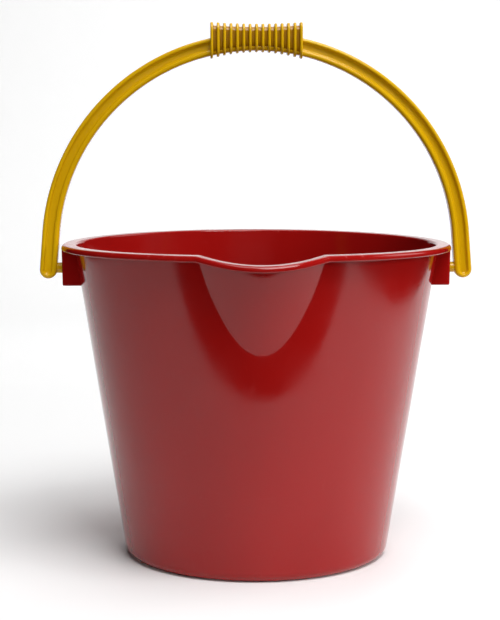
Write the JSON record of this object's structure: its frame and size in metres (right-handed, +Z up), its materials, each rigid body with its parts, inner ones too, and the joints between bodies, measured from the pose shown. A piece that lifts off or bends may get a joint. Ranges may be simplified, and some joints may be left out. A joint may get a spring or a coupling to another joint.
{
  "type": "sand bucket",
  "caption": "Tapered round plastic sand bucket with a rolled rim, a front pouring spout, side pivot ears and an arched swinging handle with a ribbed grip.",
  "frame": {"origin": "centre of the flat underside of the bucket, on the wall cone's axis", "axes": "+Z up along the wall cone's axis; -Y towards the pouring spout; X along the handle's pivot axis"},
  "size_m": [0.2224, 0.2075, 0.2733],
  "materials": {
    "bucket": "glossy moulded polypropylene, deep red",
    "handle": "satin-gloss moulded polypropylene, mustard yellow"
  },
  "bodies": {
    "bucket": {"bucket_shell": "bucket", "left_ear": "bucket", "right_ear": "bucket"},
    "handle": {"handle_bow": "handle", "grip": "handle", "left_pivot_pin": "handle", "right_pivot_pin": "handle"}
  },
  "joints": [
    {"name": "handle_swing", "type": "hinge", "parent": "bucket", "child": "handle", "pos_m": [0, 0, 0.1485], "axis": [1, 0, 0], "range_deg": [-129, 129]}
  ]
}
